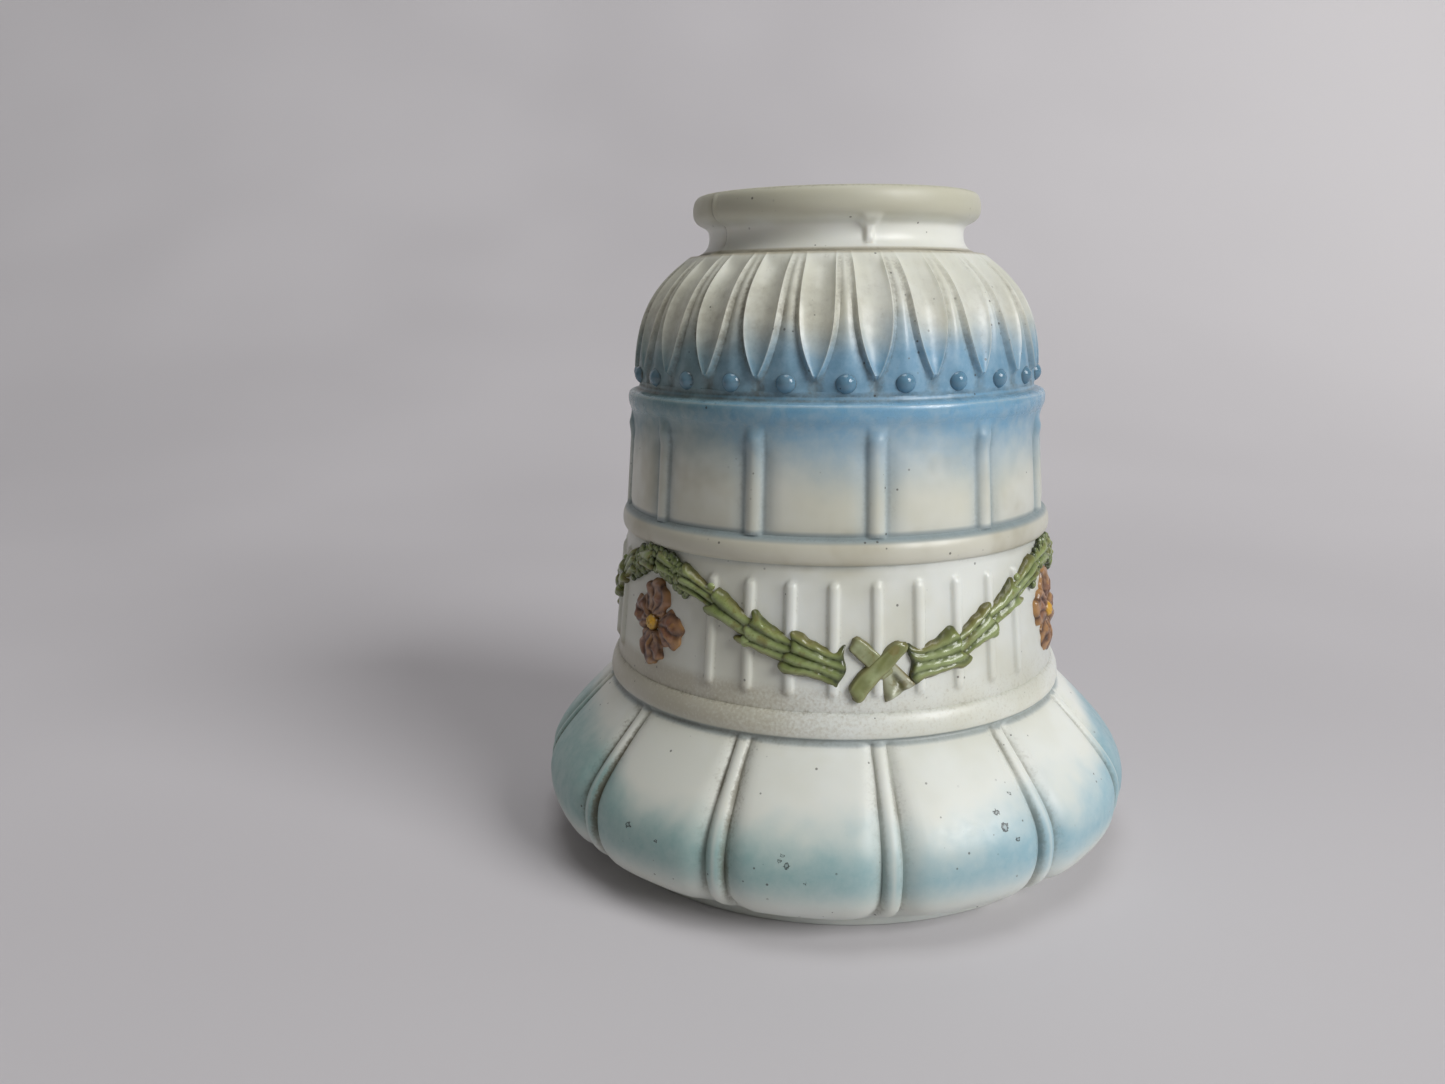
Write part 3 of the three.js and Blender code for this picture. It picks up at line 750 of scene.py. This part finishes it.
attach(glass, "root")
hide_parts("glass_shell")

# ------------------------------------------------------------
# The bows: straps of green enamel over relief in the glass, at the low point of each swag. A long strap
# crosses a short one, and a thin looped end hangs at the lower right.

SWAG_LOW = 46.3
SINK, EMBED = 0.3, 0.45


def wrap(x, z, rise, middle):
    """A place on the frieze: x mm along it from the middle angle, z mm up, and rise mm out of its surface."""
    around = middle + x / frieze_radius(z)
    r = frieze_radius(z) + rise
    return np.stack([r * np.sin(around), -r * np.cos(around), z], axis=1) * MM


def spot_on_frieze(x, z, rise, middle):
    return wrap(*np.array([[x], [z], [rise]]), middle)[0]


def sheet(name, columns, rows, middle, lay, round_it=False, thin=0.0):
    """A relief of enamel on the frieze, closed at its back just inside the glass. lay gives x, z, the rise,
    how deep in a groove and how high on a crest, from 0 to 1 along and -1 to 1 across, or round it and from
    its rim in. The paint shows the grooves dark, painted shade, and the crests pale, a painted highlight.
    thin tells how much of the glass shows through the paint."""
    made, flat = grid(name, columns, rows)
    t, u = flat[:, 0] + 0.5, flat[:, 1] * 2
    x, z, rise, groove, worn = lay(t, u)
    made.data.vertices.foreach_set("co", wrap(x, z, rise, middle).astype(np.float32).ravel())
    rim = np.maximum(bump(np.abs(u), 1, 0.3), bump(np.abs(2 * t - 1), 1, 0.1))
    if round_it:
        rim = bump(u, -1, 0.3)
    carry(made, {"crease": groove, "worn": worn, "rim": rim, "thin": thin + 0 * t})
    bpy.ops.object.mode_set(mode="EDIT")
    bpy.ops.mesh.select_all(action="SELECT")
    bpy.ops.mesh.remove_doubles(threshold=1e-6)
    bpy.ops.mesh.extrude_region_move(TRANSFORM_OT_translate={"value": (0, 0, 0)})
    bpy.ops.object.mode_set(mode="OBJECT")
    for v in made.data.vertices:
        if v.select:
            inner = (frieze_radius(v.co.z / MM) - EMBED) * MM / math.hypot(v.co.x, v.co.y)
            v.co.x, v.co.y = v.co.x * inner, v.co.y * inner
    bpy.ops.object.mode_set(mode="EDIT")
    bpy.ops.mesh.select_all(action="SELECT")
    bpy.ops.mesh.normals_make_consistent(inside=False)
    bpy.ops.object.mode_set(mode="OBJECT")
    return made


def together(name, pieces, paint):
    """The reliefs of one enamel as one piece."""
    choose(pieces)
    if len(pieces) > 1:
        bpy.ops.object.join()
    pieces[0].name = name
    pieces[0].data.materials.append(paint)
    bpy.ops.object.shade_smooth_by_angle(angle=math.radians(50))
    return pieces[0]


def hand_cut(x, z, seed):
    """A small steady wobble, as the mould cutter's hand left it."""
    coarse = np.sin(x * 1.7 + seed) * np.cos(z * 1.3 + seed * 2.1)
    return coarse + 0.5 * np.sin(x * 3.9 - z * 2.7 + seed * 1.3)


def strap_lay(x0, z0, x1, z1, half, rise, bend, seed, spread=0.0):
    """A strap with blunt ends from one place to the other, bent sideways, its edges a painted highlight."""
    def lay(t, u):
        length = math.hypot(x1 - x0, z1 - z0)
        ax, az = (x1 - x0) / length, (z1 - z0) / length
        side = bend * np.sin(t * math.pi)
        end = np.sqrt(np.clip(1 - np.abs(2 * t - 1) ** 9, 0, 1)) * 0.9 + 0.1
        wide = half * end * (1 + 0.06 * hand_cut(t * 6, u, seed)) * (1 + spread * t)
        across = u * wide + side
        along_it = t * length + 0.3 * u * (2 * t - 1)
        x = x0 + ax * along_it - az * across
        z = z0 + az * along_it + ax * across
        shoulder = np.clip(1 - np.abs(u) ** 8, 0, 1) ** 0.5
        shoulder = shoulder * np.clip(1 - np.abs(2 * t - 1) ** 22, 0, 1) ** 0.5
        high = rise * (1 - 0.12 * u**2) + 0.08 * hand_cut(x, z, seed)
        lip = 0.1 * bump(np.abs(u), 0.78, 0.14)
        groove = np.maximum(bump(np.abs(u), 1, 0.14), bump(np.abs(2 * t - 1), 1, 0.05))
        return x, z, -SINK + (high + lip + SINK) * shoulder, groove, bump(np.abs(u), 0.75, 0.15)
    return lay


def loop_lay(t, u):
    """The hanging end: a thin fan with a gap in its middle and a curled foot."""
    x = 1.2 + t * 3.2 + u * (1.1 + 2.0 * t)
    z = SWAG_LOW + 1.4 - t * 6.0 + u * (0.7 + 0.9 * t)
    edge = np.clip(1 - np.abs(u) ** 5, 0, 1) ** 0.5 * np.clip(1 - np.abs(2 * t - 1) ** 12, 0, 1) ** 0.5
    gap = bump(u, 0.1 + 0.1 * t, 0.24) * smooth(t, 0.25, 0.5)
    curl = 0.45 * bump(t, 0.86, 0.1) * (1 + 0.6 * np.sin(u * 8))
    rise = -SINK + (0.95 + curl) * edge - 0.62 * gap
    return x, z, rise, np.clip(gap + 0.6 * (1 - edge), 0, 1), bump(t, 0.9, 0.12)


# Enamel painted by hand: thin and thick patches, brown at the rim, pale on the crests, which is a painted
# highlight, and dark in the grooves, which is painted shade.
painted, node, given, out = effect(
    "hand_painted",
    (("Place", "Vector"), ("Main", "Color"), ("Pale", "Color"), ("Edge", "Color"), ("Deep", "Color"),
     ("Groove", "Float"), ("Crest", "Float"), ("Rim", "Float"), ("Thin", "Float"), ("Rough", "Float")),
    (("Colour", "Color"), ("Roughness", "Float"), ("Height", "Float")),
)
patch = noise(node, given["Place"], 160, 3, 0.6)
grain = noise(node, given["Place"], 900, 3, 0.6)
colour = mix(node, fade(node, patch, 0.38, 0.66), given["Main"], given["Pale"])
colour = mix(node, times(node, given["Crest"], 0.5), colour, given["Pale"])
bare = times(node, given["Thin"], fade(node, patch, 0.3, 0.65, 0.55, 1.15))
colour = mix(node, bare, colour, srgb(214, 216, 200))
stain = times(node, fade(node, noise(node, given["Place"], 330, 4, 0.7), 0.52, 0.66), 0.6)
stain = most(node, stain, times(node, given["Rim"], fade(node, patch, 0.3, 0.6, 0.35, 0.95)))
colour = mix(node, stain, colour, given["Edge"])
sunk = times(node, given["Groove"], fade(node, grain, 0.25, 0.7, 0.6, 1.0))
colour = mix(node, sunk, colour, given["Deep"])
give(out["Colour"], colour)
give(out["Roughness"], plus(node, given["Rough"], fade(node, grain, 0.3, 0.75, 0.0, 0.14)))
give(out["Height"], plus(node, times(node, grain, 0.5), patch))


def enamel(name, main, pale, edge, deep, rough):
    made, shader, node = material(name)
    place = node("TexCoord").outputs["Object"]
    paint = placed(node, painted, {
        "Place": place, "Main": main, "Pale": pale, "Edge": edge, "Deep": deep, "Rough": rough,
        "Groove": mark(node, "crease"), "Crest": mark(node, "worn"), "Rim": mark(node, "rim"),
        "Thin": mark(node, "thin"),
    })
    specked = placed(node, pits, {"Place": place, "Scale": 700.0})["Mask"]
    give(shader.inputs["Base Color"], mix(node, times(node, specked, 0.5), paint["Colour"], deep))
    give(shader.inputs["Roughness"], paint["Roughness"])
    shader.inputs["Coat Weight"].default_value = 0.35
    shader.inputs["Coat Roughness"].default_value = 0.12
    dent = node("Bump", Strength=0.25, Distance=0.0001, Height=paint["Height"])
    give(shader.inputs["Normal"], dent.outputs["Normal"])
    return made


ribbon_green = enamel(
    "ribbon_enamel", srgb(126, 132, 82), srgb(166, 176, 130), srgb(120, 104, 52), srgb(84, 84, 46), 0.3
)
for k in range(SWAGS):
    middle = k * 2 * math.pi / SWAGS
    z = SWAG_LOW
    short_lay = strap_lay(-4.7, z + 5.3, 2.0, z - 1.2, 1.75, 0.95, 0.2, 3 + k)
    long_lay = strap_lay(5.0, z + 4.9, -4.7, z - 4.9, 1.5, 1.25, -0.4, 1 + k, 0.4)
    parts = [
        sheet("short", 26, 14, middle, short_lay, thin=0.15),
        sheet("loop", 26, 22, middle, loop_lay, thin=0.6),
        sheet("long", 34, 14, middle, long_lay),
    ]
    bow = together(f"ribbon_bow_{k + 1}", parts, ribbon_green)
    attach(bow, "root")
    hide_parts(f"bow_{k + 1}")

# ------------------------------------------------------------
# The garlands: bundles of long leaves in green enamel over relief in the glass. Each lies over the next one
# up, from a torn end by the bow to the flower, and a berry stands at two of the joints.

SWAG_RISE = 16.0
SWAG_RADIUS, SLOPE_RADIUS = 44.6, 44.5
BERRIES = ((30.2, 2.5, 1.25), (39.4, -2.7, 0.8))  # degrees, drop below the garland and radius
BUNDLES = (
    # start and end in degrees from the bow, half width, strands, the lean of the strands
    (7.4, 20.6, 3.6, 4, 0.5),
    (18.8, 30.4, 3.1, 3, -1.1),
    (28.8, 39.8, 2.6, 2, 0.9),
    (38.2, 49.4, 2.3, 3, -1.0),
    (47.6, 58.6, 2.0, 2, 0.8),
)


def swag_height(degrees):
    t = np.clip(np.abs(degrees) / (SWAG_PITCH / 2), 0, 1)
    return SWAG_LOW + SWAG_RISE * smooth(t**1.15, 0, 1)


def bundle_lay(start, end, half, strands, lean, side, seed):
    """One bundle: rounded strands side by side, ragged at both ends, with the lower corner drawn out."""
    torn = 0.25 if start < 10 else -0.15

    def lay(t, u):
        first = start - 0.5 * np.sin(u * 5 + seed) + 0.6 * np.abs(u) ** 3
        last = end + 0.5 * np.cos(u * 6 + seed) + 1.3 * bump(u, -0.85, 0.25) + 0.7 * bump(u, 0.9, 0.2)
        degrees = first + (last - first) * t
        slope = (swag_height(degrees + 0.5) - swag_height(degrees - 0.5)) / np.radians(1.0) / SLOPE_RADIUS
        flare = 1 + torn * bump(t, 0.02, 0.1) + 0.2 * bump(t, 0.86, 0.16) - 0.12 * bump(t, 0.3, 0.25)
        wide = half * flare * (1 + 0.04 * hand_cut(t * 7, u * 2, seed))
        tilt = 1 / np.hypot(1, slope)
        across = u * wide
        x = side * (np.radians(degrees) * frieze_radius(swag_height(degrees)) - slope * tilt * across)
        z = swag_height(degrees) + tilt * across
        twist = u + 0.35 * lean * (t - 0.5) + 0.06 * np.sin(t * 5 + seed)
        strand = np.abs(np.cos(twist * strands * math.pi / 2 + (0 if strands % 2 else math.pi / 2)))
        body = np.clip(1 - np.abs(u) ** 4, 0, 1) ** 0.5
        ends = np.clip(1 - np.abs(2 * t - 1) ** 20, 0, 1) ** 0.5
        arch = 0.8 + 0.5 * smooth(t, 0.1, 0.9)
        rise = arch * (0.95 + 0.5 * strand**0.8) + 0.04 * hand_cut(x, z, seed)
        groove = (1 - strand**0.5) * 1.1 * body
        groove = np.clip(groove + 0.6 * bump(np.abs(u), 1, 0.12) + 0.9 * bump(t, 0, 0.09), 0, 1)
        return x, z, -SINK + (rise + SINK) * body * ends, groove, bump(strand, 1, 0.2) * body
    return lay


leaf_green = enamel(
    "leaf_enamel", srgb(120, 134, 76), srgb(158, 172, 116), srgb(120, 106, 50), srgb(42, 52, 26), 0.26
)
for k in range(SWAGS):
    middle = k * 2 * math.pi / SWAGS
    for side, word in ((-1, "left"), (1, "right")):
        parts = []
        for number, (start, end, half, strands, lean) in enumerate(reversed(BUNDLES)):
            seed = number * 2.3 + side + k
            lay = bundle_lay(start, end, half, strands, lean * side, side, seed)
            parts.append(sheet(f"bundle_{number}", 40, 28, middle, lay))
        for degrees, drop, size in BERRIES:
            bpy.ops.object.select_all(action="DESELECT")
            bpy.ops.mesh.primitive_uv_sphere_add(segments=20, ring_count=12, radius=size * MM)
            berry = bpy.context.object
            bpy.ops.transform.resize(value=(1.08, 0.9, 0.94), center_override=(0, 0, 0))
            for v in berry.data.vertices:
                v.co *= 1 + 0.05 * hand_cut(v.co.x / MM, v.co.z / MM, degrees + k)
            x, z = side * math.radians(degrees) * SWAG_RADIUS, swag_height(degrees) - drop
            bpy.ops.transform.translate(value=tuple(spot_on_frieze(x, z, 0.5, middle)))
            bpy.ops.object.transform_apply(location=True, rotation=False, scale=False)
            parts.append(berry)
        garland = together(f"leaf_garland_{k + 1}_{word}", parts, leaf_green)
        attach(garland, "root")
        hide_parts(f"garland_{k + 1}_{word}")

# ------------------------------------------------------------
# The leaf sprays: a heap of small round leaves over each flower, where two swags meet. They are relief in the
# glass too, under the same green enamel, and the mould cutter set them in rough rows.

bpy.ops.object.select_all(action="DESELECT")
bpy.ops.mesh.primitive_uv_sphere_add(segments=14, ring_count=9, radius=1 * MM)
bud = bpy.context.object
bpy.ops.transform.resize(value=(1.0, 0.85, 1.15), center_override=(0, 0, 0))
bpy.ops.object.transform_apply(location=False, rotation=False, scale=True)
for v in bud.data.vertices:
    v.co.y += 0.25 * MM * bump(v.co.x / MM, 0, 0.22) * smooth(-v.co.y / MM, 0.2, 0.8)
front = np.array([-v.co.y / MM for v in bud.data.vertices])
# The fronts of the small leaves are marked to paint pale, a painted highlight, and their backs dark, painted
# shade.
carry(bud, {"crease": smooth(-front, -0.8, -0.3), "worn": smooth(front, 0.68, 0.85)})
BUD_PITCH, BUD_ROWS, BUDS_ASIDE = 1.3, 4, 7
for k in range(SWAGS):
    middle = (k + 0.5) * 2 * math.pi / SWAGS
    buds = []
    for row in range(BUD_ROWS):
        for step in range(-BUDS_ASIDE, BUDS_ASIDE + 1):
            seed = row * 13.7 + step * 5.1 + k
            x = (step + (row % 2) * 0.5) * BUD_PITCH + 0.25 * math.sin(seed)
            across = (row - 1.5) * BUD_PITCH + 0.2 * math.cos(seed * 1.7)
            z = float(swag_height(SWAG_PITCH / 2 - math.degrees(abs(x) / SWAG_RADIUS)))
            z = z + 0.3 + across - 0.02 * x * x
            rise = 0.45 + 0.35 * (1 - abs(row - 1.5) / 2) + 0.15 * math.sin(seed * 3.1)
            spot = spot_on_frieze(x, z, rise, middle)
            one = copied(bud, "bud")
            one.location = spot
            one.scale = (0.88 + 0.16 * math.sin(seed * 2.3),) * 3
            tip = 0.7 * math.sin(seed * 4.7) + 0.5 * math.copysign(min(abs(x) / 4, 1), x)
            one.rotation_euler = (0, tip, math.atan2(spot[1], spot[0]) + math.pi / 2)
            buds.append(one)
    choose(buds)
    bpy.ops.object.transform_apply(location=True, rotation=True, scale=True)
    heap = together(f"leaf_heap_{k + 1}", buds, leaf_green)
    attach(heap, "root")
    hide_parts(f"leaf_spray_{k + 1}")
bpy.data.objects.remove(bud)

# ------------------------------------------------------------
# The flowers: four ruffled petals in rose-brown enamel, veined dark and edged ochre, with a yellow button in
# the middle. Both are painted by hand over relief in the glass, and fired.

FLOWER, BUTTON = 50.2, 1.75
PETALS = (
    # direction in degrees from the right, how far the petal's middle lies out, half long and half wide
    (82, 4.9, 3.9, 4.1),
    (165, 4.2, 3.8, 3.6),
    (-8, 5.2, 3.9, 3.8),
    (-95, 4.8, 3.8, 4.1),
)


def petal_lay(direction, out, long, wide, seed):
    ax, az = math.cos(math.radians(direction)), math.sin(math.radians(direction))

    def lay(t, u):
        turn = t * 2 * math.pi
        reach = (1 - u) / 2
        ruffle = 1 + 0.07 * np.sin(turn * 5 + seed) + 0.05 * np.sin(turn * 9 + seed * 2)
        a = np.cos(turn) * long * reach * ruffle
        b = np.sin(turn) * wide * reach * ruffle
        x = ax * (out + a) - az * b
        z = FLOWER + az * (out + a) + ax * b
        vein = np.abs(np.sin(np.arctan2(b, a + long * 1.1) * 6 + seed + 0.7 * np.sin(a + seed)))
        dome = np.clip(1 - reach**4, 0, 1) ** 0.5
        rise = 0.75 + 0.34 * vein + 0.26 * np.sin(reach * 7 + seed) + 0.1 * hand_cut(x, z, seed)
        fold = 0.5 * bump(reach, 0.55, 0.1) * (np.sin(turn * 3 + seed) > 0)
        groove = np.clip(1.1 * (1 - vein) ** 1.5 + fold, 0, 1)
        groove = np.maximum(groove, 0.8 * smooth(-a, long * 0.55, long * 0.95))
        return x, z, -SINK + (rise + SINK) * dome, groove, bump(reach, 0.75, 0.15)
    return lay


rose = enamel(
    "rose_enamel", srgb(138, 96, 74), srgb(166, 130, 98), srgb(186, 140, 84), srgb(56, 32, 24), 0.32
)
ochre = enamel(
    "ochre_enamel", srgb(216, 162, 44), srgb(204, 164, 72), srgb(136, 92, 34), srgb(90, 60, 18), 0.3
)
for k in range(SWAGS):
    middle = (k + 0.5) * 2 * math.pi / SWAGS
    parts = []
    for number, (direction, out, long, wide) in enumerate(PETALS):
        lay = petal_lay(direction, out, long, wide, number * 1.9 + k)
        parts.append(sheet(f"petal_{number}", 64, 16, middle, lay, round_it=True))
    petals = together(f"flower_petals_{k + 1}_painted", parts, rose)
    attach(petals, "root")
    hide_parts(f"flower_petals_{k + 1}")

    def button(t, u, k=k):
        turn, reach = t * 2 * math.pi, (1 - u) / 2
        x, z = BUTTON * reach * np.cos(turn), FLOWER + BUTTON * reach * np.sin(turn)
        grains = 0.14 * np.cos(x * 6.5 + k) * np.cos(z * 6.5)
        rise = BUTTON * np.clip(1 - reach**2.6, 0, 1) ** 0.5
        return x, z, -0.2 + rise + grains * (reach < 0.95), smooth(reach, 0.75, 1), smooth(-reach, -0.5, 0)

    dot = sheet("button", 36, 10, middle, button, round_it=True)
    centre = together(f"flower_button_{k + 1}", [dot], ochre)
    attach(centre, "root")
    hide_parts(f"flower_centre_{k + 1}")

# ------------------------------------------------------------
# The table and the light: a plain sheet of pale paper that sweeps up behind the shade, one large soft lamp
# high on the right, and a weaker one over the shade.

PAPER_WIDE, PAPER_LONG, PAPER_NEAR, FLAT_TO, SWEEP = 5, 3.2, -0.8, 0.25, 0.75
floor = grid("floor", 2, 60)[0]
for v in floor.data.vertices:
    run = (v.co.y + 0.5) * PAPER_LONG + PAPER_NEAR
    bend = min(max((run - FLAT_TO) / SWEEP, 0), math.pi / 2)
    past = max(run - FLAT_TO - SWEEP * math.pi / 2, 0)
    rise = SWEEP * (1 - math.cos(bend)) + past
    v.co = (v.co.x * PAPER_WIDE, min(run, FLAT_TO) + SWEEP * math.sin(bend), rise)
bpy.ops.object.shade_smooth()
paper, shader, node = material("pale_paper")
place = node("TexCoord").outputs["Object"]
paper_tone_and_light = mix(node, fade(node, noise(node, place, 3, 2), 0.3, 0.7), srgb(200, 197, 200), srgb(210, 207, 210))
across = node("SeparateXYZ", Vector=place).outputs["X"]
# Painted light: the paper is painted lighter towards the right, the side of the window lamp.
paper_tone_and_light = mix(node, fade(node, across, 0.0, 0.8), paper_tone_and_light, srgb(224, 221, 223))
give(shader.inputs["Base Color"], paper_tone_and_light)
shader.inputs["Roughness"].default_value = 0.9
floor.data.materials.append(paper)


def lamp(name, place, aim, size, power):
    data = bpy.data.lights.new(name, "AREA")
    data.shape = "DISK"
    data.size = size
    data.energy = power
    made = bpy.data.objects.new(name, data)
    bpy.context.scene.collection.objects.link(made)
    made.location = place
    made.rotation_euler = (Vector(aim) - Vector(place)).to_track_quat("-Z", "Y").to_euler()


AIM, LAMP_SIZE = (0, 0, 0.06), 1.2
lamp("window", (1.35, -1.35, 1.16), AIM, LAMP_SIZE, 36.0)
lamp("ceiling", (0, -0.04, 2.26), AIM, LAMP_SIZE, 11.0)

world = bpy.data.worlds.new("room")
world.use_nodes = True
sky = world.node_tree.nodes["Background"].inputs
sky["Color"].default_value = (1.0, 0.98, 0.94, 1)
sky["Strength"].default_value = 0.10
bpy.context.scene.world = world
bpy.context.scene.view_settings.view_transform = "Standard"

# The camera stands a little to the left of the first bow, at the height of the dome's leaves.
CAMERA = Vector((-44.1, -235.8, 111.3)) * MM
HEADING, DOWN, ROLL = math.radians(4.99), math.radians(12.07), math.radians(-0.57)
SENSOR, FOCAL = 36, 28.40138
view = bpy.data.cameras.new("camera")
view.lens = FOCAL
view.sensor_width = SENSOR
view.clip_start = 0.01
camera = bpy.data.objects.new("camera", view)
bpy.context.scene.collection.objects.link(camera)
level_view = Matrix.Rotation(-HEADING, 4, "Z") @ Matrix.Rotation(math.pi / 2 - DOWN, 4, "X")
camera.matrix_world = Matrix.Translation(CAMERA) @ level_view @ Matrix.Rotation(ROLL, 4, "Z")
bpy.context.scene.camera = camera
